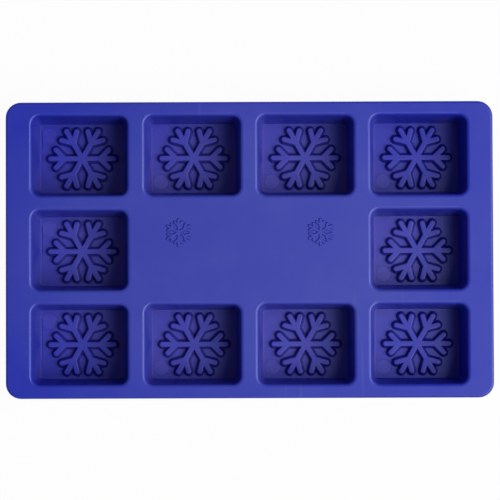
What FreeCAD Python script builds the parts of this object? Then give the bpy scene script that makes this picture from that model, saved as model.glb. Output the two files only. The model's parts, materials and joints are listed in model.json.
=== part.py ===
import FreeCAD, Part
import math
import os
import Sketcher

# Ice cube tray: one injection moulding in soft plastic, with ten tapered cells and a
# raised snowflake on the floor of each. Lengths are in millimetres, angles in degrees.
# The origin is the middle of the area that the tray stands on. X runs along the tray,
# Y across it and Z up.

SIZES = {
    "cell_length": 35.3,
    "cell_width": 29.5,
    "cell_depth": 18.2,
    "cell_corner": 3.1,
    "column_gap": 6.5,
    "row_gap": 5.4,
    "end_margin": 9.65,
    "side_margin": 5.1,
    "tray_corner": 5.65,
    "wall_draft": 5.7,
    "wall_thickness": 1.8,
    "floor_thickness": 1.8,
    "web_thickness": 1.8,
    "rim_thickness": 1.7,
    "rim_depth": 4.6,
    "rim_round": 0.8,
    "mouth_bevel": 0.8,
    "foot_bevel": 0.9,
    "pin_mark_share": 0.9,
    "pin_mark_depth": 0.12,
    "relief_height": 2.0,
    "relief_draft": 20.6,
    "flake_clearance": 0.93,
    "half_bar_share": 0.08,
    "fork_share": 0.555,
    "branch_share": 0.392,
    "fork_angle": 45.0,
    "panel_relief": 0.4,
    "panel_relief_draft": 20.0,
    "panel_flake_reach": 4.85,
    "panel_flake_spread": 26.2,
    "panel_flake_offset": 6.5,
}
FLANGE_RATIO = 2.0
COLUMNS = 4
ROWS = 3
FLAKE_ARMS = 6
END_FLATS = 3
ARM_TURN = 60
ARM_RUN = math.cos(math.radians(ARM_TURN))
ARM_RISE = math.sin(math.radians(ARM_TURN))
QUARTER_TURN = 90
FLAT = 1e-6

# How a sketch refers to the ends and the centre of a curve, its axes and its origin.
START_INDEX = 1
END_INDEX = 2
CENTRE_INDEX = 3
X_AXIS_INDEX = -1
Y_AXIS_INDEX = -2
ORIGIN = (X_AXIS_INDEX, START_INDEX)


class Size:
    """A value together with the sheet formula that gives it."""

    def __init__(self, value, formula):
        self.value = value
        self.formula = formula

    def combined(self, other, sign, value):
        text = other.formula if isinstance(other, Size) else str(other)
        return Size(value, f"({self.formula} {sign} {text})")

    def __add__(self, other):
        return self.combined(other, "+", self.value + number(other))

    def __sub__(self, other):
        return self.combined(other, "-", self.value - number(other))

    def __mul__(self, other):
        return self.combined(other, "*", self.value * number(other))

    def __truediv__(self, other):
        return self.combined(other, "/", self.value / number(other))

    def __neg__(self):
        return self * -1

    def sin(self):
        return Size(math.sin(math.radians(self.value)), f"sin({self.formula})")

    def cos(self):
        return Size(math.cos(math.radians(self.value)), f"cos({self.formula})")

    def tan(self):
        return Size(math.tan(math.radians(self.value)), f"tan({self.formula})")


NOTHING = Size(0, "0")


def number(size):
    return size.value if isinstance(size, Size) else size


def smaller(first, second):
    return Size(min(first.value, second.value), f"min({first.formula}; {second.formula})")


def make_sheet(doc):
    """Write the driving dimensions into the sheet and return them by name."""
    sheet = doc.addObject("Spreadsheet::Sheet", "Sizes")
    sizes = {}
    for row, (name, value) in enumerate(SIZES.items(), start=1):
        sheet.set(f"A{row}", name)
        sheet.set(f"B{row}", str(value))
        sheet.setAlias(f"B{row}", name)
        sizes[name] = Size(value, f"Sizes.{name}")
    doc.recompute()
    return sizes


def origin_feature(body, role):
    return [feature for feature in body.Origin.OriginFeatures if feature.Role == role][0]


def bind(feature, path, size):
    """Tie a property of a feature to a formula over the sheet."""
    feature.setExpression(path, size.formula)


def level_sketch(body, name, level, x=NOTHING, y=NOTHING):
    """A sketch on a level plane, its own origin at x, y."""
    sketch = body.newObject("Sketcher::SketchObject", name)
    sketch.AttachmentSupport = [(origin_feature(body, "XY_Plane"), "")]
    sketch.MapMode = "FlatFace"
    bind(sketch, "AttachmentOffset.Base.x", x)
    bind(sketch, "AttachmentOffset.Base.y", y)
    bind(sketch, "AttachmentOffset.Base.z", level)
    return sketch


def constrain(sketch, kind, *references):
    return sketch.addConstraint(Sketcher.Constraint(kind, *references))


def dimension(sketch, name, kind, *references):
    """Add a named dimension, whose last reference is its size, and bind it."""
    size = references[-1]
    value = math.radians(size.value) if kind == "Angle" else size.value
    index = constrain(sketch, kind, *references[:-1], value)
    sketch.renameConstraint(index, name)
    bind(sketch, f"Constraints.{name}", size)


def rectangle(sketch, length, width):
    """Draw a rectangle about the sketch's origin."""
    x = length.value / 2
    y = width.value / 2
    corners = [FreeCAD.Vector(x * side_x, y * side_y, 0)
               for side_x, side_y in ((1, -1), (1, 1), (-1, 1), (-1, -1))]
    sides = []
    for first, last in zip(corners, corners[1:] + corners[:1]):
        sides.append(sketch.addGeometry(Part.LineSegment(first, last)))
    for side, following in zip(sides, sides[1:] + sides[:1]):
        constrain(sketch, "Coincident", side, END_INDEX, following, START_INDEX)
    for side, kind in zip(sides, ("Vertical", "Horizontal", "Vertical", "Horizontal")):
        constrain(sketch, kind, side)
    right, top, left, bottom = sides
    constrain(sketch, "Symmetric", right, START_INDEX, left, START_INDEX, *ORIGIN)
    dimension(sketch, "length", "DistanceX", left, START_INDEX, right, START_INDEX, length)
    dimension(sketch, "width", "DistanceY", bottom, START_INDEX, top, START_INDEX, width)


def rounded_rectangle(sketch, length, width, corner):
    """Draw a rectangle with round corners about the sketch's origin."""
    reach_x = length.value / 2 - corner.value
    reach_y = width.value / 2 - corner.value
    arcs = []
    for index, (side_x, side_y) in enumerate([(1, -1), (1, 1), (-1, 1), (-1, -1)]):
        middle = FreeCAD.Vector(side_x * reach_x, side_y * reach_y, 0)
        circle = Part.Circle(middle, FreeCAD.Vector(0, 0, 1), corner.value)
        first = (index - 1) * math.pi / 2
        arcs.append(sketch.addGeometry(Part.ArcOfCircle(circle, first, first + math.pi / 2)))
    ends = [(sketch.getPoint(arc, START_INDEX), sketch.getPoint(arc, END_INDEX)) for arc in arcs]
    sides = []
    for index, arc in enumerate(arcs):
        following = (index + 1) % len(arcs)
        line = sketch.addGeometry(Part.LineSegment(ends[index][1], ends[following][0]))
        constrain(sketch, "Tangent", arc, END_INDEX, line, START_INDEX)
        constrain(sketch, "Tangent", line, END_INDEX, arcs[following], START_INDEX)
        sides.append(line)
    right, top, left, bottom = sides
    for side, kind in zip(sides, ("Vertical", "Horizontal", "Vertical", "Horizontal")):
        constrain(sketch, kind, side)
    for arc in arcs[1:]:
        constrain(sketch, "Equal", arcs[0], arc)
    constrain(sketch, "Symmetric", arcs[0], CENTRE_INDEX, arcs[2], CENTRE_INDEX, *ORIGIN)
    dimension(sketch, "length", "DistanceX", left, START_INDEX, right, START_INDEX, length)
    dimension(sketch, "width", "DistanceY", bottom, START_INDEX, top, START_INDEX, width)
    dimension(sketch, "corner", "Radius", arcs[0], corner)


def arm_side(reach, bar, fork, branch, turn):
    """The corners of one side of a snowflake arm, from its root to its tip.

    Returns them with the middle of the branch's end, and the branch's direction.
    """
    along = FreeCAD.Vector(math.cos(turn), math.sin(turn), 0)
    across = FreeCAD.Vector(-math.sin(turn), math.cos(turn), 0) * bar
    branch_end = FreeCAD.Vector(fork, 0, 0) + along * branch
    near_notch = fork - bar * math.sin(turn) + bar * (1 - math.cos(turn)) / math.tan(turn)
    far_notch = fork + bar * math.sin(turn) + bar * (1 + math.cos(turn)) / math.tan(turn)
    corners = [
        FreeCAD.Vector(0, bar, 0),
        FreeCAD.Vector(near_notch, bar, 0),
        branch_end + across,
        branch_end - across,
        FreeCAD.Vector(far_notch, bar, 0),
        FreeCAD.Vector(reach, bar, 0),
    ]
    return corners, branch_end, along


def flipped(point):
    """The point across the sketch's X axis."""
    return FreeCAD.Vector(point.x, -point.y, 0)


def flake_arm(sketch, size, reach):
    """Draw one arm of a snowflake along the sketch's X axis, forked near its tip.

    The arm is a bar that ends about reach. Two branches of the same bar leave it at the
    fork, one to each side. Every end is a half round in three flats. The bar's width,
    the fork's place and the branches' length are shares of the reach.
    """
    half_bar = reach * size["half_bar_share"]
    fork = reach * size["fork_share"]
    branch = reach * size["branch_share"]
    fork_angle = size["fork_angle"]
    bar = half_bar.value
    turn = math.radians(fork_angle.value)
    upper, branch_end, along = arm_side(reach.value, bar, fork.value, branch.value, turn)
    lower = [flipped(point) for point in upper]
    branch_tip = branch_end + along * bar

    def line(first, last, guide=False):
        return sketch.addGeometry(Part.LineSegment(first, last), guide)

    def half_round(first, middle, last):
        """Add a half round as a guide, with three flats along it."""
        arc = Part.Arc(first, middle, last)
        guide = sketch.addGeometry(arc, True)
        start, end = arc.FirstParameter, arc.LastParameter
        turns = [start + (end - start) * step / END_FLATS for step in range(END_FLATS + 1)]
        points = [arc.value(turn) for turn in turns]
        flats = [line(one, other) for one, other in zip(points, points[1:])]
        constrain(sketch, "Coincident", guide, START_INDEX, flats[0], START_INDEX)
        constrain(sketch, "Coincident", guide, END_INDEX, flats[-1], END_INDEX)
        for flat, following in zip(flats, flats[1:]):
            constrain(sketch, "Coincident", flat, END_INDEX, following, START_INDEX)
            constrain(sketch, "PointOnObject", following, START_INDEX, guide)
            constrain(sketch, "Equal", flat, following)
        return guide

    root = line(upper[0], lower[0])
    low = [
        line(lower[0], lower[1]),
        line(lower[1], lower[2]),
        half_round(lower[2], flipped(branch_tip), lower[3]),
        line(lower[3], lower[4]),
        line(lower[4], lower[5]),
    ]
    nose = half_round(lower[5], FreeCAD.Vector(reach.value + bar, 0, 0), upper[5])
    high = [
        line(upper[5], upper[4]),
        line(upper[4], upper[3]),
        half_round(upper[3], branch_tip, upper[2]),
        line(upper[2], upper[1]),
        line(upper[1], upper[0]),
    ]
    outline = [root, *low, nose, *high]
    rounds = [low[2], nose, high[2]]
    for edge, following in zip(outline, outline[1:] + outline[:1]):
        kind = "Tangent" if edge in rounds or following in rounds else "Coincident"
        constrain(sketch, kind, edge, END_INDEX, following, START_INDEX)

    fork_point = FreeCAD.Vector(fork.value, 0, 0)
    low_guide = line(fork_point, flipped(branch_end), True)
    high_guide = line(fork_point, branch_end, True)
    for guide, edges in ((low_guide, low), (high_guide, high)):
        constrain(sketch, "Coincident", guide, END_INDEX, edges[2], CENTRE_INDEX)
        constrain(sketch, "Parallel", guide, edges[1])
        constrain(sketch, "Parallel", guide, edges[3])
        constrain(sketch, "Equal", nose, edges[2])
        constrain(sketch, "Horizontal", edges[0])
        constrain(sketch, "Horizontal", edges[4])
    constrain(sketch, "Coincident", low_guide, START_INDEX, high_guide, START_INDEX)
    constrain(sketch, "PointOnObject", high_guide, START_INDEX, X_AXIS_INDEX)
    constrain(sketch, "Symmetric", low_guide, END_INDEX, high_guide, END_INDEX, X_AXIS_INDEX)
    constrain(sketch, "PointOnObject", nose, CENTRE_INDEX, X_AXIS_INDEX)
    constrain(sketch, "PointOnObject", root, START_INDEX, Y_AXIS_INDEX)
    constrain(sketch, "Vertical", root)
    constrain(sketch, "PointOnObject", root, START_INDEX, high[0])
    constrain(sketch, "PointOnObject", root, END_INDEX, low[4])
    dimension(sketch, "reach", "DistanceX", *ORIGIN, nose, CENTRE_INDEX, reach)
    dimension(sketch, "half_bar", "Radius", nose, half_bar)
    dimension(sketch, "fork", "DistanceX", *ORIGIN, high_guide, START_INDEX, fork)
    dimension(sketch, "branch", "Distance", high_guide, branch)
    dimension(sketch, "fork_angle", "Angle", high_guide, fork_angle)


def extrude(doc, body, kind, name, sketch, depth, upwards=False):
    """Add a Pad or a Pocket that goes straight up or down from its sketch."""
    feature = body.newObject(f"PartDesign::{kind}", name)
    feature.Profile = sketch
    feature.Reversed = upwards == (kind == "Pocket")
    feature.Refine = True
    bind(feature, "Length", depth)
    doc.recompute()
    return feature


def turn_copies(doc, body, name, original, sketch, count):
    """Repeat a feature about the origin of its sketch."""
    feature = body.newObject("PartDesign::PolarPattern", name)
    feature.Originals = [original]
    feature.Axis = (sketch, ["N_Axis"])
    feature.Angle = 360
    feature.Occurrences = count
    feature.Refine = True
    body.Tip = feature
    doc.recompute()


def level_faces(shape, level, facing):
    """The level faces of a shape at a height, facing up (1) or down (-1)."""
    found = []
    for face in shape.Faces:
        box = face.BoundBox
        if box.ZLength > FLAT or abs(box.ZMin - level.value) > FLAT:
            continue
        if face.normalAt(0, 0).z * facing > 0:
            found.append(face)
    return found


def inner_wires(faces):
    return [wire for face in faces for wire in face.Wires if not wire.isSame(face.OuterWire)]


def outer_wires(faces):
    return [face.OuterWire for face in faces]


def wire_edges(wires):
    return [edge for wire in wires for edge in wire.Edges]


def edges_between(shape, low, high):
    """The edges that run from one height up to another."""
    found = []
    for edge in shape.Edges:
        box = edge.BoundBox
        if abs(box.ZMin - low.value) < FLAT and abs(box.ZMax - high.value) < FLAT:
            found.append(edge)
    return found


def dress_edges(doc, body, kind, name, edges, extent):
    """Put a fillet or a chamfer on some edges of the body."""
    base = body.Tip
    names = []
    for index, edge in enumerate(base.Shape.Edges, start=1):
        if any(edge.isSame(other) for other in edges):
            names.append(f"Edge{index}")
    feature = body.newObject(f"PartDesign::{kind}", name)
    feature.Base = (base, names)
    bind(feature, "Radius" if kind == "Fillet" else "Size", extent)
    doc.recompute()


def lean_sides(doc, body, name, fixed, far, angle, outwards):
    """Lean the upright faces between two heights about their edges at the fixed one."""
    base = body.Tip
    low, high = sorted((fixed.value, far.value))
    sides = []
    level = []
    for index, face in enumerate(base.Shape.Faces, start=1):
        box = face.BoundBox
        if abs(box.ZMin - low) < FLAT and abs(box.ZMax - high) < FLAT:
            sides.append(f"Face{index}")
        elif box.ZLength < FLAT and abs(box.ZMin - fixed.value) < FLAT:
            level.append(f"Face{index}")
    feature = body.newObject("PartDesign::Draft", name)
    feature.Base = (base, sides)
    feature.NeutralPlane = (base, level[:1])
    feature.Reversed = not outwards
    bind(feature, "Angle", angle)
    doc.recompute()


class Layout:
    """Heights, pitches and outer sizes that follow from the driving dimensions."""

    def __init__(self, size):
        self.floor = size["floor_thickness"]
        self.top = self.floor + size["cell_depth"]
        self.column_pitch = size["cell_length"] + size["column_gap"]
        self.row_pitch = size["cell_width"] + size["row_gap"]
        self.first_column = -self.column_pitch * ((COLUMNS - 1) / 2)
        self.first_row = self.row_pitch * ((ROWS - 1) / 2)
        self.length = self.column_pitch * COLUMNS - size["column_gap"] + size["end_margin"] * 2
        self.width = self.row_pitch * ROWS - size["row_gap"] + size["side_margin"] * 2
        draft_step = size["cell_depth"] * size["wall_draft"].tan()
        self.half_floor_length = size["cell_length"] / 2 - draft_step
        self.half_floor_width = size["cell_width"] / 2 - draft_step
        self.set_flake(size)
        self.set_pin_mark(size)

    def set_flake(self, size):
        """Let the snowflake come as near to the floor's edge as its clearance allows.

        It grows until it is stopped at the ends by an arm along the cell, or at the
        sides by the arms that stand at 60 degrees.
        """
        taken = size["flake_clearance"] + size["relief_height"] * size["relief_draft"].tan()
        bar = size["half_bar_share"]
        self.flake_reach = smaller((self.half_floor_width - taken) / (bar + ARM_RISE),
                                   (self.half_floor_length - taken) / (bar + 1))

    def set_pin_mark(self, size):
        """Put the pin mark half way from the nearest branch's tip to the floor's corner."""
        heading = -(size["fork_angle"] - ARM_TURN)
        tip_x = size["fork_share"] * ARM_RUN + size["branch_share"] * heading.cos()
        tip_y = size["fork_share"] * ARM_RISE + size["branch_share"] * heading.sin()
        room_x = self.half_floor_length - self.flake_reach * tip_x
        room_y = self.half_floor_width - self.flake_reach * tip_y
        self.pin_mark_x = self.half_floor_length - room_x / 2
        self.pin_mark_y = self.half_floor_width - room_y / 2
        self.pin_mark_diameter = smaller(room_x, room_y) * size["pin_mark_share"]

    def cells(self):
        """The middle of each cell: two full outer rows, and one cell at each end between."""
        places = []
        for row in range(ROWS):
            for column in range(COLUMNS):
                if row in (0, ROWS - 1) or column in (0, COLUMNS - 1):
                    x = self.first_column + self.column_pitch * column
                    places.append((x, self.first_row - self.row_pitch * row))
        return places


def make_web(doc, size, layout):
    """The flat top of the tray with its turned-down rim."""
    body = doc.addObject("PartDesign::Body", "web")
    outline = level_sketch(body, "TrayOutline", layout.top)
    rounded_rectangle(outline, layout.length, layout.width, size["tray_corner"])
    extrude(doc, body, "Pad", "Slab", outline, size["rim_depth"])
    upper_edge = wire_edges(outer_wires(level_faces(body.Tip.Shape, layout.top, 1)))
    dress_edges(doc, body, "Fillet", "RimRound", upper_edge, size["rim_round"])
    rim = size["rim_thickness"]
    inside = level_sketch(body, "RimInside", layout.top - size["rim_depth"])
    rounded_rectangle(inside, layout.length - rim * 2, layout.width - rim * 2,
                      size["tray_corner"] - rim)
    hollow = size["rim_depth"] - size["web_thickness"]
    extrude(doc, body, "Pocket", "UnderWeb", inside, hollow, upwards=True)
    return body


def make_panel_flake(doc, size, layout):
    """A small raised snowflake about the origin, one arm straight up the panel.

    Its foot is as far below the web's top as its face is above it.
    """
    body = doc.addObject("PartDesign::Body", "panel_flake")
    height = size["panel_relief"] * 2
    relief_top = layout.top + size["panel_relief"]
    sketch = level_sketch(body, "PanelFlakeOutline", relief_top)
    offset = sketch.AttachmentOffset
    offset.Rotation = FreeCAD.Rotation(FreeCAD.Vector(0, 0, 1), QUARTER_TURN)
    sketch.AttachmentOffset = offset
    flake_arm(sketch, size, size["panel_flake_reach"])
    arm = extrude(doc, body, "Pad", "PanelFlakeArm", sketch, height)
    turn_copies(doc, body, "PanelFlakeTurns", arm, sketch, FLAKE_ARMS)
    lean_sides(doc, body, "PanelFlakeSlopes", relief_top, relief_top - height,
               size["panel_relief_draft"], True)
    return body


def make_cup(doc, size, layout):
    """The outside of one cup, about the origin: it narrows down to a bevelled foot."""
    body = doc.addObject("PartDesign::Body", "cup")
    wall = size["wall_thickness"]
    outline = level_sketch(body, "CupOutline", layout.top)
    rectangle(outline, size["cell_length"] + wall * 2, size["cell_width"] + wall * 2)
    extrude(doc, body, "Pad", "CupBlock", outline, layout.top)
    lean_sides(doc, body, "CupDraft", layout.top, NOTHING, size["wall_draft"], False)
    corners = edges_between(body.Tip.Shape, NOTHING, layout.top)
    dress_edges(doc, body, "Fillet", "CupCorners", corners, size["cell_corner"] + wall)
    foot = wire_edges(outer_wires(level_faces(body.Tip.Shape, NOTHING, -1)))
    dress_edges(doc, body, "Chamfer", "FootBevel", foot, size["foot_bevel"])
    return body


def make_core(doc, size, layout, name, mark_side):
    """The space inside one cell, about the origin, as the mould core that forms it.

    Its flange lies on the tray's top plane, so that the bevel below the flange breaks
    the edge of the mouth. The snowflake is sunk into its lower end, and the ejector pin
    mark stands out from a corner there, at the far side or the near side.
    """
    body = doc.addObject("PartDesign::Body", name)
    outline = level_sketch(body, f"{name}_outline", layout.top)
    rectangle(outline, size["cell_length"], size["cell_width"])
    extrude(doc, body, "Pad", f"{name}_block", outline, size["cell_depth"])
    lean_sides(doc, body, f"{name}_draft", layout.top, layout.floor, size["wall_draft"], False)
    corners = edges_between(body.Tip.Shape, layout.floor, layout.top)
    dress_edges(doc, body, "Fillet", f"{name}_corners", corners, size["cell_corner"])
    flange = level_sketch(body, f"{name}_flange_outline", layout.top)
    margin = size["mouth_bevel"] * FLANGE_RATIO
    rectangle(flange, size["cell_length"] + margin * 2, size["cell_width"] + margin * 2)
    extrude(doc, body, "Pad", f"{name}_flange", flange, margin, upwards=True)
    mouth = wire_edges(inner_wires(level_faces(body.Tip.Shape, layout.top, -1)))
    dress_edges(doc, body, "Chamfer", f"{name}_mouth_bevel", mouth, size["mouth_bevel"])
    add_pin_mark(doc, body, size, layout, mark_side)
    sink_flake(doc, body, size, layout)
    return body


def add_pin_mark(doc, body, size, layout, side):
    """The shallow disc that the mould's ejector pin leaves near a corner of the floor."""
    sketch = level_sketch(body, f"{body.Name}_pin_mark_outline", layout.floor)
    x, y = layout.pin_mark_x, layout.pin_mark_y
    middle = FreeCAD.Vector(-x.value, y.value * side, 0)
    radius = layout.pin_mark_diameter.value / 2
    circle = sketch.addGeometry(Part.Circle(middle, FreeCAD.Vector(0, 0, 1), radius))
    dimension(sketch, "from_middle", "DistanceX", circle, CENTRE_INDEX, *ORIGIN, x)
    if side > 0:
        dimension(sketch, "from_axis", "DistanceY", *ORIGIN, circle, CENTRE_INDEX, y)
    else:
        dimension(sketch, "from_axis", "DistanceY", circle, CENTRE_INDEX, *ORIGIN, y)
    dimension(sketch, "diameter", "Diameter", circle, layout.pin_mark_diameter)
    extrude(doc, body, "Pad", f"{body.Name}_pin_mark", sketch, size["pin_mark_depth"])


def sink_flake(doc, body, size, layout):
    """The recess that forms the raised snowflake on the floor, with sloping sides."""
    height = size["relief_height"]
    relief_top = layout.floor + height
    sketch = level_sketch(body, f"{body.Name}_flake_outline", relief_top)
    flake_arm(sketch, size, layout.flake_reach)
    arm = extrude(doc, body, "Pocket", f"{body.Name}_flake_arm", sketch, height)
    turn_copies(doc, body, f"{body.Name}_flake_turns", arm, sketch, FLAKE_ARMS)
    lean_sides(doc, body, f"{body.Name}_flake_slopes", relief_top, layout.floor,
               size["relief_draft"], True)


def place(doc, body, name, x, y):
    """A copy of a body, its origin at x, y."""
    copy = doc.addObject("App::Link", name)
    copy.LinkedObject = body
    bind(copy, "Placement.Base.x", x)
    bind(copy, "Placement.Base.y", y)
    return copy


def make_tray(doc, size, layout):
    """Fuse the web, the cups and the panel snowflakes, then cut the cells."""
    cup = make_cup(doc, size, layout)
    far_core = make_core(doc, size, layout, "core_marked_far", 1)
    near_core = make_core(doc, size, layout, "core_marked_near", -1)
    added = [make_web(doc, size, layout)]
    cores = []
    for index, (x, y) in enumerate(layout.cells(), start=1):
        added.append(place(doc, cup, f"cup_{index}", x, y))
        in_first_column = x.value == layout.first_column.value
        core = far_core if in_first_column else near_core
        cores.append(place(doc, core, f"core_{index}", x, y))
    flake = make_panel_flake(doc, size, layout)
    spread = size["panel_flake_spread"]
    for name, x in (("left_flake", -spread), ("right_flake", spread)):
        added.append(place(doc, flake, name, x, size["panel_flake_offset"]))
    blank = doc.addObject("Part::MultiFuse", "tray_blank")
    blank.Shapes = added
    blank.Refine = True
    all_cores = doc.addObject("Part::Compound", "cores")
    all_cores.Links = cores
    tray = doc.addObject("Part::Cut", "tray")
    tray.Label = "ice_cube_tray"
    tray.Base = blank
    tray.Tool = all_cores
    doc.recompute()
    return tray


def check(doc, tray):
    """Stop on a failed feature, a cut that removed nothing or a broken solid."""
    for item in doc.Objects:
        if "Invalid" in item.State or "Error" in item.State:
            raise RuntimeError(f"{item.Name} did not build: {item.State}")
        if item.TypeId == "PartDesign::Pocket":
            if item.Shape.Volume >= item.BaseFeature.Shape.Volume:
                raise RuntimeError(f"{item.Name} removed nothing")
    shape = tray.Shape
    if shape.isNull() or not shape.isValid() or len(shape.Solids) != 1:
        raise RuntimeError("the tray is not one valid solid")


def main():
    doc = FreeCAD.newDocument("ice_cube_tray")
    size = make_sheet(doc)
    layout = Layout(size)
    tray = make_tray(doc, size, layout)
    check(doc, tray)
    os.makedirs("parts", exist_ok=True)
    tray.Shape.exportStep(f"parts/{tray.Label}.step")
    box = tray.Shape.optimalBoundingBox()
    print(f"tray {box.XLength:.2f} x {box.YLength:.2f} x {box.ZLength:.2f} mm,",
          f"{tray.Shape.Volume / 1000:.2f} cm3, {len(tray.Shape.Faces)} faces")


main()
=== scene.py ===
# %% [markdown]
# # An ice cube tray in soft blue plastic
# The tray is one moulding: ten tapered cells hang from a thin web, and a short rim is turned
# down round the outside. A raised snowflake stands on the floor of each cell. The packed
# solid gives the places and the overall size. A moulding has rounds where the solid has
# bevels, so the tray is drawn again here with every edge softened, and it then stands for
# the solid.

# %% The frame
import json
import math

import bmesh
import bpy
from mathutils import Matrix, Vector


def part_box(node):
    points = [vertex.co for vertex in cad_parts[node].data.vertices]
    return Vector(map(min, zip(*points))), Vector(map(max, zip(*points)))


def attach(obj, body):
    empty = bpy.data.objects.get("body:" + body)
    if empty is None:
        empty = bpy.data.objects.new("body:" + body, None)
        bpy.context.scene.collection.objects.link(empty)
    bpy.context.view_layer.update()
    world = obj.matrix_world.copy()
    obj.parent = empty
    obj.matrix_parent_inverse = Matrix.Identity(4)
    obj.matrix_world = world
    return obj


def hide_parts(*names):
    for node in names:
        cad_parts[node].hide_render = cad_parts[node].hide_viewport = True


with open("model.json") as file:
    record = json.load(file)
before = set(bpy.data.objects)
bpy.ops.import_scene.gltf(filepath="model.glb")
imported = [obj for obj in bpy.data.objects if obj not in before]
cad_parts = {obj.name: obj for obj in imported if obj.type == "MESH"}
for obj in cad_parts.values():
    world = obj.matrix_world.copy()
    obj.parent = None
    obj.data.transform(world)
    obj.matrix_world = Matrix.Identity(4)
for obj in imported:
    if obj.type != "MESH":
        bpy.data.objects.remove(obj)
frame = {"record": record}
bpy.context.view_layer.update()
NODE = "ice_cube_tray"

# %% [markdown]
# ## Units and places
# Blender's mesh tools merge points that are nearer than a hundredth of a millimetre or so,
# and the relief here has steps of that order. So the tray is drawn with one unit to the
# millimetre and shrunk a thousand times when it is done. The cells' centres are those of
# the openings that the record lists, which keeps them in step with the solid.

# %% Places from the frame
MM = 0.001
low, high = (Vector(corner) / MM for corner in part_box(NODE))
tray_length, tray_width = high.x - low.x, high.y - low.y
cells = []
for opening in frame["record"]["physics"]["openings"]:
    if opening["name"].startswith("cell"):
        near, far = opening["box_m"]
        cells.append(((near[0] + far[0]) / 2 / MM, (near[1] + far[1]) / 2 / MM))
first_column = min(x for x, y in cells)
print(f"tray {tray_length:.1f} x {tray_width:.1f} mm, {len(cells)} cells", cells)

# %% Levels and sizes in millimetres
RELIEF = 0.4                    # how far the panel's snowflakes stand up
TOP = high.z - RELIEF           # the web's upper face
FLOOR = 1.8                     # the cells' floors
WALL = 1.8                      # wall and web thickness
UNDER = TOP - WALL              # the web's lower face
RIM_DROP = 4.6
RIM_WALL = 1.7
TRAY_CORNER = 5.65
MOUTH = (35.3, 29.5)            # a cell's mouth, measured where wall and web would meet
MOUTH_CORNER = 3.1
LEAN = math.tan(math.radians(5.7))
print(f"web from {UNDER:.1f} to {TOP:.1f} mm, floors at {FLOOR} mm")

# %% [markdown]
# ## Working with a selection
# Edit-mode tools act on what is selected. These helpers empty the scene's selection, open a
# piece for editing with everything selected, and choose faces or edges by a rule on their
# place. Selecting by place is the script's version of clicking. One helper marks faces with
# a number that the material reads later, and the last joins pieces into one.

# %% Selection helpers
CLOSE = 1e-3                    # how near two places count as one
LEVEL_ENOUGH = 0.9              # a face whose normal rises more than this counts as level


def only(piece):
    """Make this piece the only selected and active one."""
    for other in bpy.context.selected_objects:
        other.select_set(False)
    piece.select_set(True)
    bpy.context.view_layer.objects.active = piece


def edit(piece, kind="FACE"):
    only(piece)
    bpy.ops.object.mode_set(mode="EDIT")
    bpy.ops.mesh.select_mode(type=kind)
    bpy.ops.mesh.select_all(action="SELECT")


def leave():
    bpy.ops.object.mode_set(mode="OBJECT")


def select_faces(piece, rule):
    """In edit mode, select the faces whose centre fits the rule."""
    mesh = bmesh.from_edit_mesh(piece.data)
    bpy.ops.mesh.select_mode(type="FACE")
    bpy.ops.mesh.select_all(action="DESELECT")
    for face in mesh.faces:
        if rule(face.calc_center_median()):
            face.select_set(True)
    bmesh.update_edit_mesh(piece.data)


def select_open_edges(piece, level):
    """In edit mode, select the edges at this level that have a face on one side only."""
    mesh = bmesh.from_edit_mesh(piece.data)
    bpy.ops.mesh.select_mode(type="EDGE")
    bpy.ops.mesh.select_all(action="DESELECT")
    chosen = [edge for edge in mesh.edges if len(edge.link_faces) == 1
              and all(abs(vertex.co.z - level) < CLOSE for vertex in edge.verts)]
    for edge in chosen:
        edge.select_set(True)
    bmesh.update_edit_mesh(piece.data)
    return len(chosen)


def leans(normal):
    return normal.z < LEVEL_ENOUGH


def lies_level(normal):
    return normal.z > LEVEL_ENOUGH


def mark_faces(piece, name, rule, strength=1.0):
    """Store the strength on the faces whose normal fits the rule, and 0 on the others."""
    marks = piece.data.attributes.new(name, "FLOAT", "FACE")
    for face in piece.data.polygons:
        marks.data[face.index].value = strength if rule(face.normal) else 0.0


def join(pieces, name):
    only(pieces[0])
    for piece in pieces:
        piece.select_set(True)
    bpy.ops.object.join()
    pieces[0].name = name
    return pieces[0]


# %% [markdown]
# ## A flat outline with rounded corners
# Every wall of this tray starts from a rounded rectangle. A plane gets its corners from a
# vertex bevel. Two more cuts close to each end of a corner's arc leave extra points on the
# straight sides: shading blends over the nearest faces, and with these points it stays
# within the corner and leaves the long walls flat.

# %% Rounded outline
CORNER_STEPS = 8
SUPPORT = 0.25


def outline(name, length, width, corner, level, facing=1):
    """A flat face at this level with rounded corners, facing up or down."""
    bpy.ops.mesh.primitive_plane_add(size=1, location=(0, 0, level))
    piece = bpy.context.active_object
    piece.name = name
    piece.scale = (length, width, 1)
    bpy.ops.object.transform_apply(location=True, rotation=True, scale=True)
    edit(piece, "VERT")
    bpy.ops.mesh.bevel(offset=corner, offset_type="OFFSET", segments=CORNER_STEPS,
                       affect="VERTICES")
    for axis, half in ((Vector((1, 0, 0)), length / 2), (Vector((0, 1, 0)), width / 2)):
        for side in (-1, 1):
            bpy.ops.mesh.select_all(action="SELECT")
            cut = axis * side * (half - corner - SUPPORT)
            bpy.ops.mesh.bisect(plane_co=cut + Vector((0, 0, level)), plane_no=axis)
    bpy.ops.mesh.select_all(action="SELECT")
    bpy.ops.mesh.dissolve_faces()
    if facing < 0:
        bpy.ops.mesh.flip_normals()
    leave()
    return piece


# %% [markdown]
# ## Walls that follow a profile
# A wall is drawn by its profile, as a section through the tool would show it: a list of
# points, each an inward distance and a height, with a radius for each corner between them.
# The face is then inset again and again, and each inset moves it by one step of the
# profile. An inset keeps the same distance all round, so a corner gets tighter on the way
# in, from 3.1 mm at the mouth to 1.3 mm at the floor, just as on the real tray. A profile
# ends in a short flat, which the smooth shading needs beside a round.

# %% Profiles
ARC_STEPS = 6


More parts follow.
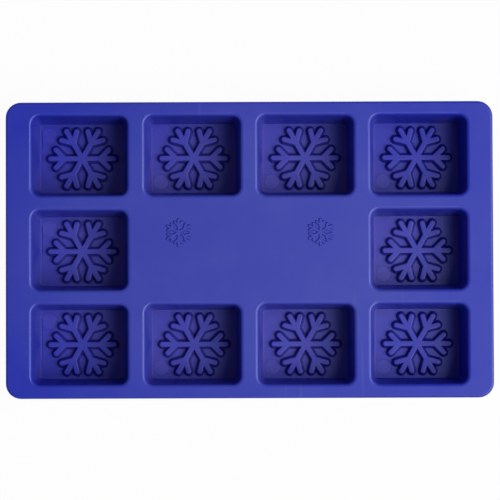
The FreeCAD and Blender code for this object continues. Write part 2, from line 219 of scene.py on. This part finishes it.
def rounded(points, radii):
    """The profile with an arc of the given radius in place of each inner corner."""
    line = [Vector(points[0])]
    for before, corner, after, radius in zip(points, points[1:], points[2:], radii):
        corner = Vector(corner)
        back = (Vector(before) - corner).normalized()
        on = (Vector(after) - corner).normalized()
        half_angle = back.angle(on) / 2
        reach = radius / math.tan(half_angle)
        centre = corner + (back + on).normalized() * (radius / math.sin(half_angle))
        first, last = corner + back * reach, corner + on * reach
        for step in range(ARC_STEPS + 1):
            part = step / ARC_STEPS
            turn = math.pi - 2 * half_angle
            weight_first = math.sin((1 - part) * turn) / math.sin(turn)
            weight_last = math.sin(part * turn) / math.sin(turn)
            line.append(centre + (first - centre) * weight_first + (last - centre) * weight_last)
    line.append(Vector(points[-1]))
    return line


def follow(piece, profile, facing=1):
    """Inset the piece's one face along the profile and leave it in edit mode, selected."""
    edit(piece)
    for here, there in zip(profile, profile[1:]):
        inward, rise = there.x - here.x, there.y - here.y
        bpy.ops.mesh.inset(thickness=max(inward, 0), depth=rise * facing, use_individual=True)


def shell(name, size, corner, points, radii, facing=1, keep_end=True):
    """A wall grown from a rounded outline. The outline lies at the profile's first point."""
    profile = rounded(points, radii)
    start = profile[0]
    length, width = size[0] - 2 * start.x, size[1] - 2 * start.x
    piece = outline(name, length, width, corner - start.x, start.y, facing)
    follow(piece, profile, facing)
    if not keep_end:
        bpy.ops.mesh.delete(type="FACE")
    leave()
    return piece


# %% [markdown]
# ## The snowflake
# The same figure is used twice: large on each cell floor, and small on the panel. It has
# six arms, each a bar with a half-round end and a pair of short branches at 45 degrees.
# One arm is a plane cut at the two places where a branch joins it. The side between the
# cuts is extruded along the branch and trimmed square, the square corners are bevelled by
# half the bar's width, and the root is cut to a wedge of 60 degrees. Five more copies
# round the centre close the figure, and its faces are dissolved into one. An arm is given
# by its reach, half the width of its bars, how far its fork is set back from the end, the
# length of its branches, and the turn of the whole figure.

# %% Snowflake outline
ARMS = 6
BRANCH_ANGLE = 45
END_REACH = 1.01                # an end's corners lie within this many half widths of it
WELD = 0.005                    # points nearer than this share of the half width are one


def towards(degrees):
    return Vector((math.cos(math.radians(degrees)), math.sin(math.radians(degrees)), 0))


def trim(point, outwards):
    """In edit mode, cut the selected faces at a plane and drop what is beyond it."""
    bpy.ops.mesh.bisect(plane_co=point, plane_no=outwards, clear_outer=True)


def grow_branch(piece, half_width, fork, branch, side):
    """Extrude the side of the arm at its fork and trim the branch to its length."""
    heading = towards(BRANCH_ANGLE * side)
    mesh = bmesh.from_edit_mesh(piece.data)
    bpy.ops.mesh.select_mode(type="EDGE")
    bpy.ops.mesh.select_all(action="DESELECT")
    for edge in mesh.edges:
        middle = (edge.verts[0].co + edge.verts[1].co) / 2
        on_side = abs(middle.y - side * half_width) < CLOSE
        if on_side and abs(middle.x - fork.x - half_width) < half_width:
            edge.select_set(True)
    bmesh.update_edit_mesh(piece.data)
    reach = heading * (branch + 4 * half_width)
    bpy.ops.mesh.extrude_edges_move(TRANSFORM_OT_translate={"value": reach})
    select_faces(piece, lambda centre: centre.y * side > half_width)
    trim(fork + heading * (branch + half_width), heading)


def round_ends(piece, half_width, ends):
    """Bevel the two square corners at each end into a half round."""
    mesh = bmesh.from_edit_mesh(piece.data)
    bpy.ops.mesh.select_mode(type="VERT")
    bpy.ops.mesh.select_all(action="DESELECT")
    for vertex in mesh.verts:
        if any((vertex.co - end).length < half_width * END_REACH for end in ends):
            vertex.select_set(True)
    bmesh.update_edit_mesh(piece.data)
    bpy.ops.mesh.bevel(offset=half_width, offset_type="OFFSET", segments=CORNER_STEPS,
                       affect="VERTICES")
    bpy.ops.mesh.select_all(action="SELECT")
    bpy.ops.mesh.remove_doubles(threshold=half_width * WELD)


def flake_outline(name, reach, half_width, setback, branch, turn):
    """The figure as one flat face at height zero, facing up."""
    tip = reach + half_width
    bpy.ops.mesh.primitive_plane_add(size=1, location=(tip / 2, 0, 0))
    piece = bpy.context.active_object
    piece.name = name
    piece.scale = (tip, 2 * half_width, 1)
    bpy.ops.object.transform_apply(location=True, rotation=True, scale=True)
    fork = Vector((reach - setback, 0, 0))
    edit(piece)
    slant = 1 / math.tan(math.radians(BRANCH_ANGLE / 2))
    for cut in (fork.x - half_width / slant, fork.x + half_width * slant):
        bpy.ops.mesh.select_all(action="SELECT")
        bpy.ops.mesh.bisect(plane_co=(cut, 0, 0), plane_no=(1, 0, 0))
    ends = [towards(0) * tip]
    for side in (1, -1):
        grow_branch(piece, half_width, fork, branch, side)
        ends.append(fork + towards(BRANCH_ANGLE * side) * (branch + half_width))
    bpy.ops.mesh.select_all(action="SELECT")
    bpy.ops.mesh.dissolve_faces()
    round_ends(piece, half_width, ends)
    for side in (1, -1):
        bpy.ops.mesh.select_all(action="SELECT")
        trim(Vector((0, 0, 0)), towards((180 / ARMS + 90) * side))
    bpy.ops.mesh.select_all(action="SELECT")
    bpy.ops.mesh.spin(steps=ARMS - 1, dupli=True, angle=math.radians(360 - 360 / ARMS),
                      center=(0, 0, 0), axis=(0, 0, 1))
    bpy.ops.mesh.select_all(action="SELECT")
    bpy.ops.mesh.remove_doubles(threshold=half_width * WELD)
    bpy.ops.mesh.select_mode(type="FACE")
    bpy.ops.mesh.select_all(action="SELECT")
    bpy.ops.mesh.normals_make_consistent(inside=False)
    bpy.ops.mesh.dissolve_faces()
    leave()
    if piece.data.polygons[0].normal.z < 0:
        piece.data.flip_normals()
    piece.rotation_euler = (0, 0, math.radians(turn))
    only(piece)
    bpy.ops.object.transform_apply(location=True, rotation=True, scale=True)
    print(f"{name}: {len(piece.data.polygons)} face with {len(piece.data.vertices)} points")
    return piece


def raise_flake(piece, level, height, slope, edge_round):
    """Raise the outline into a figure with sloping sides and a softened upper edge."""
    lean_in = height * math.tan(math.radians(slope))
    points = [(0, 0), (lean_in, height), (lean_in + 2 * edge_round, height)]
    follow(piece, rounded(points, [edge_round]))
    bpy.ops.mesh.select_all(action="SELECT")
    bpy.ops.transform.translate(value=(0, 0, level))
    leave()
    return piece


# %% [markdown]
# ## One cell
# The lining of a cell is the surface that the ice touches: a round at the mouth, a wall
# that leans in by 5.7 degrees to let the cube out, a small round at the foot, and the
# floor. The floor's face is taken out, the snowflake and the shallow round mark of an
# ejector pin are put in its place, and one fill closes what is left between the loops.
# In the first column the mark is in the far corner, larger and with faint turned rings.
# Elsewhere it is in the near corner, plain and paler.

# %% Cell lining
MOUTH_ROUND = 1.2
MOUTH_FLAT = 1.35               # the ring of web that belongs to the lining
FOOT_ROUND = 0.08
FOOT_FLAT = 0.62
FLOOR_FLAKE = {"reach": 11.9, "half_width": 1.85, "setback": 5.3, "branch": 4.67, "turn": 0}
FLAKE_HEIGHT = 2.4
FLAKE_SLOPE = 21.2              # how many degrees its sides lean in
FLAKE_ROUND = 0.3
PIN_POINTS = 40
PIN_DEPTH = 0.15
PIN_STEP = 0.12                 # how far each step of the mark's profile goes in
PIN_RING = 0.02                 # how far a turned ring stands up
PIN_FAR = {"x": -12.55, "y": 8.75, "radius": 3.1, "rings": 4, "paleness": 0.45}
PIN_NEAR = {"x": -12.3, "y": -8.8, "radius": 2.9, "rings": 0, "paleness": 1.0}


def pin_mark(x, y, radius, rings, paleness):
    """A shallow round dish with a steep edge. A worn pin leaves its turned rings in it."""
    bpy.ops.mesh.primitive_circle_add(vertices=PIN_POINTS, radius=radius, fill_type="NGON",
                                      location=(x, y, FLOOR))
    piece = bpy.context.active_object
    bpy.ops.object.transform_apply(location=True, rotation=True, scale=True)
    steps = [Vector((0, 0)), Vector((PIN_STEP, -PIN_DEPTH))]
    for ring in range(rings):
        for rise in (0, PIN_RING, PIN_RING, 0):
            steps.append(Vector((steps[-1].x + PIN_STEP, rise - PIN_DEPTH)))
    follow(piece, steps)
    leave()
    mark_faces(piece, "pin_disc", lies_level, paleness)
    return piece


def lining(name, pin):
    foot = (TOP - FLOOR) * LEAN
    points = [(-MOUTH_FLAT, TOP), (0, TOP), (foot, FLOOR), (foot + FOOT_FLAT, FLOOR)]
    wall = shell("wall", MOUTH, MOUTH_CORNER, points, [MOUTH_ROUND, FOOT_ROUND], keep_end=False)
    # The cells' walls are marked for the painted shade that the material lays on them.
    mark_faces(wall, "cell_wall", leans)
    flake = flake_outline("flake", **FLOOR_FLAKE)
    raise_flake(flake, FLOOR, FLAKE_HEIGHT, FLAKE_SLOPE, FLAKE_ROUND)
    # The sloping sides are marked for the painted shade that the material lays on them.
    mark_faces(flake, "relief_side", leans)
    piece = join([wall, flake, pin_mark(**pin)], name)
    edit(piece, "EDGE")
    loops = select_open_edges(piece, FLOOR)
    bpy.ops.mesh.fill(use_beauty=True)
    leave()
    print(f"{name}: {loops} edges round the floor, {len(piece.data.polygons)} faces")
    return piece


marked_far = lining("lining_marked_far", PIN_FAR)
marked_near = lining("lining_marked_near", PIN_NEAR)

# %% [markdown]
# ## One cup
# The outside of a cell is a cup, a wall's thickness larger all round. It hangs from the
# web's lower face, so its outline faces down and the same profile tool grows it downwards.
# Its foot has a larger round, which is what the tray slides on in a freezer.

# %% Cup
CUP_ROOT_ROUND = 0.5
CUP_ROOT_FLAT = 0.6
CUP_FOOT_ROUND = 1.3
CUP_FOOT_FLAT = 1.4


def cup(name):
    size = (MOUTH[0] + 2 * WALL, MOUTH[1] + 2 * WALL)
    root, foot = (TOP - UNDER) * LEAN, TOP * LEAN
    points = [(root - CUP_ROOT_FLAT, UNDER), (root, UNDER), (foot, 0), (foot + CUP_FOOT_FLAT, 0)]
    radii = [CUP_ROOT_ROUND, CUP_FOOT_ROUND]
    return shell(name, size, MOUTH_CORNER + WALL, points, radii, facing=-1)


one_cup = cup("cup")
print("cup:", len(one_cup.data.polygons), "faces")

# %% [markdown]
# ## The rim
# The rim is a short skirt round the web. It is grown in two halves from one outline a
# little above its lower edge: up and over the softened outer edge to the web's upper face,
# and down, under and up the inside to the web's lower face.

# %% Rim
RIM_FOOT = TOP - RIM_DROP
RIM_START = RIM_FOOT + 1.2      # where the rim's two halves meet
OUTER_ROUND = 0.8
OUTER_FLAT = 1.0
RIM_EDGE_ROUND = 0.35
RIM_ROOT_ROUND = 0.4
RIM_ROOT_FLAT = 0.6


def rim():
    size = (tray_length, tray_width)
    up = [(0, RIM_START), (0, TOP), (OUTER_FLAT, TOP)]
    over = shell("rim_over", size, TRAY_CORNER, up, [OUTER_ROUND], keep_end=False)
    down = [(0, RIM_START), (0, RIM_FOOT), (RIM_WALL, RIM_FOOT), (RIM_WALL, UNDER),
            (RIM_WALL + RIM_ROOT_FLAT, UNDER)]
    radii = [RIM_EDGE_ROUND, RIM_EDGE_ROUND, RIM_ROOT_ROUND]
    under = shell("rim_under", size, TRAY_CORNER, down, radii, facing=-1, keep_end=False)
    return join([over, under], "rim")


skirt = rim()
print("rim:", len(skirt.data.polygons), "faces")

# %% [markdown]
# ## The two small snowflakes
# The panel between the cells carries the figure twice at two fifths of the size, raised by
# less than half a millimetre and turned so that one arm points up the panel. Its sides lean
# more, and the painted shade on them is at half strength, since so low a relief shades less.

# %% Panel snowflakes
PANEL_PLACES = ((-26.2, 6.5), (26.2, 6.5))
PANEL_FLAKE = {"reach": 4.7, "half_width": 0.66, "setback": 2.25, "branch": 1.9, "turn": 90}
PANEL_SLOPE = 40
PANEL_ROUND = 0.14
PANEL_SIDE_SHADE = 0.5
panel_flake = flake_outline("panel_flake", **PANEL_FLAKE)
raise_flake(panel_flake, TOP, RELIEF, PANEL_SLOPE, PANEL_ROUND)
mark_faces(panel_flake, "relief_side", leans, PANEL_SIDE_SHADE)

# %% [markdown]
# ## Putting the tray together
# Each piece is copied to its places, with a mesh of its own, and all are joined. The web
# needs no piece: its two faces are what is left between the loops, so one fill at each
# level closes the tray. Coincident points are merged, the normals are turned outwards, and
# the tray is shrunk to metres.

# %% Assembly
MERGE = 0.002


def copied(piece, x, y):
    twin = piece.copy()
    twin.data = piece.data.copy()
    bpy.context.collection.objects.link(twin)
    twin.location = (x, y, 0)
    only(twin)
    bpy.ops.object.transform_apply(location=True, rotation=False, scale=False)
    return twin


parts = [skirt]
for x, y in cells:
    parts.append(copied(marked_far if x == first_column else marked_near, x, y))
    parts.append(copied(one_cup, x, y))
for x, y in PANEL_PLACES:
    parts.append(copied(panel_flake, x, y))
for pattern in (marked_far, marked_near, one_cup, panel_flake):
    bpy.data.objects.remove(pattern)

tray = join(parts, "moulded_tray")
edit(tray, "EDGE")
for level in (TOP, UNDER):
    count = select_open_edges(tray, level)
    bpy.ops.mesh.fill(use_beauty=True)
    print(f"web at {level:.1f} mm: filled between {count} edges")
bpy.ops.mesh.select_all(action="SELECT")
bpy.ops.mesh.remove_doubles(threshold=MERGE)
bpy.ops.mesh.select_all(action="SELECT")
bpy.ops.mesh.normals_make_consistent(inside=False)
leave()
only(tray)
tray.scale = (MM, MM, MM)
bpy.ops.object.transform_apply(location=True, rotation=True, scale=True)

# %% [markdown]
# ## Is it closed?
# A moulding is one closed skin. Every edge should have two faces, and the volume should be
# near that of the solid, whose bevels and corners differ a little from these rounds.

# %% Check of the mesh
def report(piece):
    mesh = bmesh.new()
    mesh.from_mesh(piece.data)
    loose = sum(1 for edge in mesh.edges if len(edge.link_faces) != 2)
    volume = mesh.calc_volume(signed=True) / MM ** 3 / 1000
    print(f"{piece.name}: {len(mesh.faces)} faces, {loose} open edges, {volume:.2f} cm3")
    mesh.free()


report(tray)

# %% [markdown]
# ## Shading
# Smooth shading by angle softens the rounds and keeps the creases. The filled faces are
# long flat triangles, which would smear the light, so they are shaded flat: a narrow flat
# ring beside each round takes the blend instead.

# %% Smooth shading
SMOOTH_ANGLE = 35
FLAT_ENOUGH = 0.999
only(tray)
for name in ("cell_wall", "relief_side", "pin_disc"):
    marked = tray.data.attributes[name].data
    print(name, "faces:", sum(1 for mark in marked if mark.value > 0))
bpy.ops.object.shade_smooth_by_angle(angle=math.radians(SMOOTH_ANGLE))
flat = 0
for face in tray.data.polygons:
    if len(face.vertices) != 4 and abs(face.normal.z) > FLAT_ENOUGH:
        face.use_smooth = False
        flat += 1
print("flat faces:", flat)

# %% [markdown]
# ## Writing a material as expressions
# A material is a graph of nodes. Here a small class wraps one output of a node, so that a
# sum or product of two wrapped outputs adds the Math node that works it out.

# %% Material helper
class Out:
    """One output of a node. Its arithmetic adds Math nodes."""

    def __init__(self, material, socket):
        self.material = material
        self.socket = socket

    def maths(self, operation, *values):
        return self.material.node("ShaderNodeMath", {"operation": operation}, list(values))

    def __add__(self, other):
        return self.maths("ADD", self, other)

    def __radd__(self, other):
        return self.maths("ADD", other, self)

    def __rsub__(self, other):
        return self.maths("SUBTRACT", other, self)

    def __mul__(self, other):
        return self.maths("MULTIPLY", self, other)

    def __rmul__(self, other):
        return self.maths("MULTIPLY", other, self)


class Material:
    """A node material that is built by calls."""

    def __init__(self, name):
        self.made = bpy.data.materials.new(name)
        self.made.use_nodes = True
        self.made.node_tree.nodes.clear()

    def node(self, kind, settings=None, inputs=None, output=0):
        """Add a node, set it up, feed its sockets and return one output, wrapped."""
        made = self.made.node_tree.nodes.new(kind)
        for name, value in (settings or {}).items():
            setattr(made, name, value)
        pairs = enumerate(inputs) if isinstance(inputs, list) else (inputs or {}).items()
        for place, value in pairs:
            socket = made.inputs[place]
            if isinstance(value, Out):
                self.made.node_tree.links.new(value.socket, socket)
            else:
                socket.default_value = value
        return Out(self, made.outputs[output])

    def ramp(self, value, stops):
        """Run a value through a colour ramp with two stops, each a place and a grey."""
        out = self.node("ShaderNodeValToRGB", inputs={"Fac": value})
        elements = out.socket.node.color_ramp.elements
        for element, (place, grey) in zip(elements, stops):
            element.position, element.color = place, (grey, grey, grey, 1)
        return out

    def finish(self, shader):
        end = self.made.node_tree.nodes.new("ShaderNodeOutputMaterial")
        self.made.node_tree.links.new(shader.socket, end.inputs["Surface"])
        return self.made


# %% [markdown]
# ## Moulded blue plastic
# The tray is a soft polyethylene with a strong blue pigment. Its surface is satin, copied
# from a finely eroded steel tool, so light spreads in it. Use has left faint cloudy marks
# and a few thin scuffs, which show in the gloss more than in the colour. A cloudy noise
# varies the colour and the roughness, stretched noise makes the scuffs, and two bumps give
# the tool's grain and the slight waviness of a cooled wall.
#
# The tint also follows the tray's shape. The middle is paler, which is a painted sheen. The
# cells are a deeper blue, their walls and floors more so, which is painted shade in the
# hollows. The snowflakes' sides are darker, also painted shade, and the pin marks paler.
# Walls, sides and marks are read from numbers stored on the faces.

# %% Plastic helpers
plastic = Material("blue_tray_plastic")
place = plastic.node("ShaderNodeTexCoord", output="Object")
height = plastic.node("ShaderNodeSeparateXYZ", inputs={"Vector": place}, output=2)


def moved(scale, shift=(0, 0, 0), turn=0.0):
    """The place on the tray, scaled and shifted, and turned in the plane."""
    return plastic.node("ShaderNodeMapping", inputs={"Vector": place, "Location": shift,
                                                     "Rotation": (0, 0, turn), "Scale": scale})


def noise(scale, detail, stretch=(1, 1, 1), turn=0.0, rough=0.5):
    """Noise with a scale in features a metre, optionally stretched and turned in the plane."""
    spot = moved(stretch, turn=turn)
    return plastic.node("ShaderNodeTexNoise", inputs={"Vector": spot, "Scale": scale,
                                                      "Detail": detail, "Roughness": rough})


def below(full, gone, span):
    """A share that falls from 1 at one height to 0 at another.

    The heights are in millimetres, and the span is the whole height that the ramp covers.
    """
    stops = [(full / span, 1.0), (gone / span, 0.0)]
    return plastic.ramp(height * (1 / (span * MM)), stops)


def face_mark(name):
    return plastic.node("ShaderNodeAttribute", {"attribute_name": name}, output=2)


def mixed(first, second, share, blend="MIX"):
    """Blend the second colour over the first by the share."""
    return plastic.node("ShaderNodeMix", {"data_type": "RGBA", "blend_type": blend},
                        {"Factor": share, 6: first, 7: second}, output=2)


def tinted(colour, tint, share):
    return mixed(colour, tint, share, "MULTIPLY")


def bump(strength, distance, texture, **under):
    return plastic.node("ShaderNodeBump", inputs={"Strength": strength, "Distance": distance,
                                                  "Height": texture, **under})


# %% Patterns of wear
clouds = noise(28, 4)
blotches = plastic.ramp(noise(75, 5, rough=0.6), [(0.42, 0.0), (0.68, 1.0)])
scuff_field = plastic.ramp(noise(260, 3, (1, 0.06, 1), 0.7), [(0.66, 0.0), (0.74, 1.0)])
scuff_patch = plastic.ramp(noise(22, 2), [(0.52, 0.0), (0.66, 1.0)])
scuffs = scuff_field * scuff_patch
# Painted sheen: the blue is paler round a point near the middle of the tray.
middle = moved((7, 10, 0), (0.06, 0, 0))
painted_sheen = plastic.ramp(plastic.node("ShaderNodeTexGradient", {"gradient_type": "SPHERICAL"},
                                   {"Vector": middle}, output=1), [(0.30, 0.0), (0.60, 1.0)])

# %% Plastic
EDGE_BLUE = (0.013, 0.027, 0.432, 1)
CLOUD_AND_SHEEN_BLUE = (0.050, 0.066, 0.428, 1)
SCUFF_BLUE = (0.10, 0.12, 0.45, 1)
CELL_SHADE_TINT = (1.06, 0.82, 0.89, 1)
WALL_SHADE_TINT = (0.65, 0.78, 1.02, 1)
FLOOR_SHADE_TINT = (1.02, 0.97, 0.95, 1)
PIN_TINT = (1.5, 1.33, 1.04, 1)
SIDE_SHADE_TINT = (0.60, 0.55, 0.65, 1)

# Painted shade: everything lower than the mouths is tinted a deeper blue, for the inside of the
# cells.
cell_shade = below(17.5, 19.75, span=25)
floor_shade = below(1.9, 3.0, span=5)
pin_disc = face_mark("pin_disc")
# The base blue is paler in cloudy patches and, as a painted sheen, towards the middle.
colour = mixed(EDGE_BLUE, CLOUD_AND_SHEEN_BLUE, 0.3 * clouds + 0.7 * painted_sheen)
colour = tinted(colour, CELL_SHADE_TINT, cell_shade)
# Painted shade on the cells' walls, which are darker still.
colour = tinted(colour, WALL_SHADE_TINT, cell_shade * face_mark("cell_wall"))
# Painted shade on the floors, a little deeper and redder, except on the pin marks.
colour = tinted(colour, FLOOR_SHADE_TINT, floor_shade * (1 - pin_disc))
colour = tinted(colour, PIN_TINT, pin_disc)
# Painted shade on the snowflakes' sloping sides.
colour = tinted(colour, SIDE_SHADE_TINT, face_mark("relief_side"))
colour = mixed(colour, SCUFF_BLUE, scuffs * 0.35)
roughness = 0.33 + 0.06 * clouds + 0.06 * blotches + 0.12 * scuffs
grain = bump(0.10, 0.0001, noise(3500, 2))
waves = bump(0.12, 0.002, noise(30, 1), Normal=grain)
surface = plastic.node("ShaderNodeBsdfPrincipled",
                       inputs={"Base Color": colour, "Roughness": roughness, "Normal": waves,
                               "IOR": 1.5})
tray.data.materials.clear()
tray.data.materials.append(plastic.finish(surface))
print("plastic:", len(plastic.made.node_tree.nodes), "nodes")

# %% The tray takes the solid's place
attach(tray, "root")
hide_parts(NODE)

# %% [markdown]
# ## Floor and background
# The tray lies on a plain white ground. The camera sees the ground as almost pure white,
# and so do mirror-like rays, while for all other light it is an ordinary pale surface. The
# mix leaves a part of the true shading in view, which is the tray's soft shadow.

# %% Ground
GROUND_SIZE = 8
GROUND_LEVEL = -MM / 10         # a hair below the feet, so that no two faces coincide
WHITE_SHARE = 0.96
PAPER = (0.85, 0.85, 0.85, 1)
WHITE = (1, 1, 1, 1)
bpy.ops.mesh.primitive_plane_add(size=GROUND_SIZE, location=(0, 0, GROUND_LEVEL))
ground = bpy.context.active_object
ground.name = "ground"
white = Material("white_ground")
rays = white.made.node_tree.nodes.new("ShaderNodeLightPath")
seen = Out(white, rays.outputs["Is Camera Ray"])
mirrored = Out(white, rays.outputs["Is Glossy Ray"])
through = Out(white, rays.outputs["Is Transmission Ray"])
paper = white.node("ShaderNodeBsdfDiffuse", inputs={"Color": PAPER})
glow = white.node("ShaderNodeEmission", inputs={"Color": WHITE, "Strength": 1.0})
share = WHITE_SHARE * seen + mirrored + through
lit = white.node("ShaderNodeMixShader", inputs=[share, paper, glow])
ground.data.materials.append(white.finish(lit))

# %% [markdown]
# ## Light
# A large soft lamp stands high on the right, so the walls that face it are bright and those
# that face away are nearly black. An even, weak and bluish world stands for the light of
# the room and for what seeps through the plastic. The camera alone sees that world as
# white, so that the background is even up to its edges.

# %% Lamp
LAMP_PLACE = Vector((0.86, -0.28, 1.26))
LAMP_AIM = Vector((0, 0, 0.01))
LAMP_SIZE = (1.45, 1.00)
LAMP_WATTS = 25.5
bpy.ops.object.light_add(type="AREA", location=LAMP_PLACE)
softbox = bpy.context.active_object
softbox.name = "softbox"
softbox.data.shape = "RECTANGLE"
softbox.data.size, softbox.data.size_y = LAMP_SIZE
softbox.data.energy = LAMP_WATTS
softbox.rotation_euler = (LAMP_AIM - LAMP_PLACE).to_track_quat("-Z", "Y").to_euler()

# %% Room
ROOM_LIGHT = (0.095, 0.095, 0.175, 1)
world = bpy.data.worlds.new("pale_room")
bpy.context.scene.world = world
world.use_nodes = True
shade = world.node_tree.nodes["Background"]
room = world.node_tree.nodes.new("ShaderNodeLightPath")
room_colour = world.node_tree.nodes.new("ShaderNodeMix")
room_colour.data_type = "RGBA"
room_colour.inputs[6].default_value = ROOM_LIGHT
room_colour.inputs[7].default_value = WHITE
world.node_tree.links.new(room.outputs["Is Camera Ray"], room_colour.inputs[0])
world.node_tree.links.new(room_colour.outputs[2], shade.inputs["Color"])

# %% [markdown]
# ## Camera
# The tray is seen from almost straight above, a little from its near side, from just under
# a metre away with a long lens. The camera is turned by a fifth of a degree, as the tray is
# in the photograph. Its axes are worked out from where it stands and where it looks.

# %% Camera
EYE = (0.002, -0.027, 0.97)
AIM = Vector((0.0002, -0.0001, TOP * MM))
LENS = 185.5
ROLL = math.radians(0.2)
bpy.ops.object.camera_add(location=EYE)
eye = bpy.context.active_object
eye.data.sensor_width = 36
eye.data.lens = LENS
back = (eye.location - AIM).normalized()
right = Vector((math.sin(ROLL), math.cos(ROLL), 0)).cross(back).normalized()
eye.rotation_euler = Matrix((right, back.cross(right), back)).transposed().to_euler()
bpy.context.scene.camera = eye
bpy.context.scene.view_settings.view_transform = "Standard"
